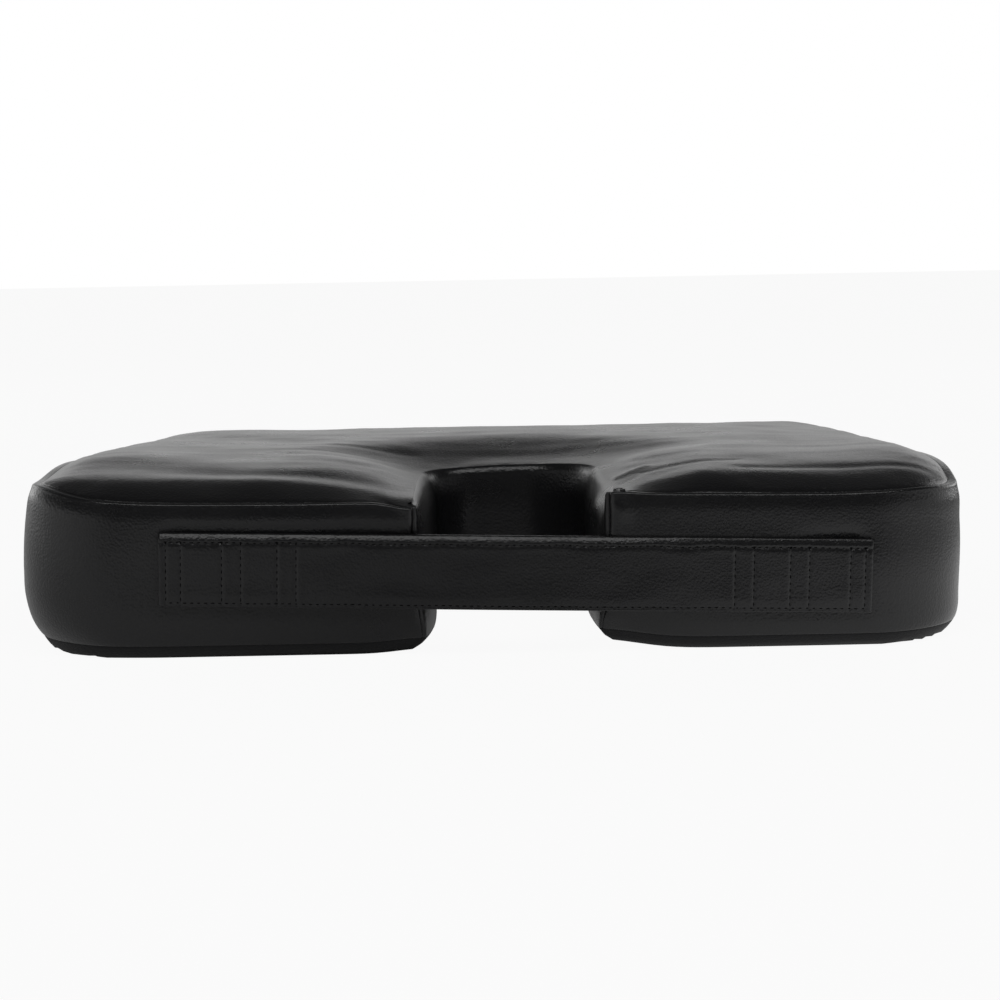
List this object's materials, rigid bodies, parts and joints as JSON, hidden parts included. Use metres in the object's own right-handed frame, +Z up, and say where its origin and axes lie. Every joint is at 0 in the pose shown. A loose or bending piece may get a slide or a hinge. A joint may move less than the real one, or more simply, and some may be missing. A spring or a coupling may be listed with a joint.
{
  "type": "seat cushion",
  "caption": "Rectangular foam seat cushion in a sewn leatherette cover, with a U-shaped notch in one long edge, a flat carry strap stitched across it and a zip along the far wall.",
  "frame": {"origin": "centre of the bounding box at the surface the cushion rests on", "axes": "+X along the long side, to the right of someone who faces the carry strap; +Y from the carry strap to the zip wall; +Z up out of the sitting surface"},
  "size_m": [0.4544, 0.3576, 0.0793],
  "materials": {
    "leatherette": "black PU leatherette, semi-gloss, fine pebble grain",
    "foam": "open-cell polyurethane foam",
    "zip_tape": "woven polyester tape",
    "zip_plastic": "moulded acetal",
    "zip_metal": "black enamelled zinc alloy",
    "webbing": "polypropylene webbing"
  },
  "bodies": {
    "cushion": {"foam_core": "foam", "top_panel": "leatherette", "bottom_panel": "leatherette", "side_panel_left": "leatherette", "side_panel_right": "leatherette", "notch_panel": "leatherette", "zip_strip_upper": "leatherette", "zip_strip_lower": "leatherette", "zip_tape_upper": "zip_tape", "zip_tape_lower": "zip_tape", "zip_teeth_upper": "zip_plastic", "zip_teeth_lower": "zip_plastic", "zip_top_stops": "zip_plastic", "zip_bottom_stop": "zip_plastic", "handle_sleeve": "leatherette", "handle_core": "webbing"},
    "zip_slider": {"zip_slider": "zip_metal"},
    "zip_pull": {"zip_pull": "zip_metal"}
  },
  "joints": [
    {"name": "zip_slide", "type": "slide", "parent": "cushion", "child": "zip_slider", "axis": [1, 0, 0], "range_m": [0, 0.277], "deforming": ["zip_teeth_upper", "zip_teeth_lower"]},
    {"name": "pull_swing", "type": "hinge", "parent": "zip_slider", "child": "zip_pull", "pos_m": [-0.1405, 0.1771, 0.0351], "axis": [0, 0, 1], "range_deg": [0, 180]}
  ]
}
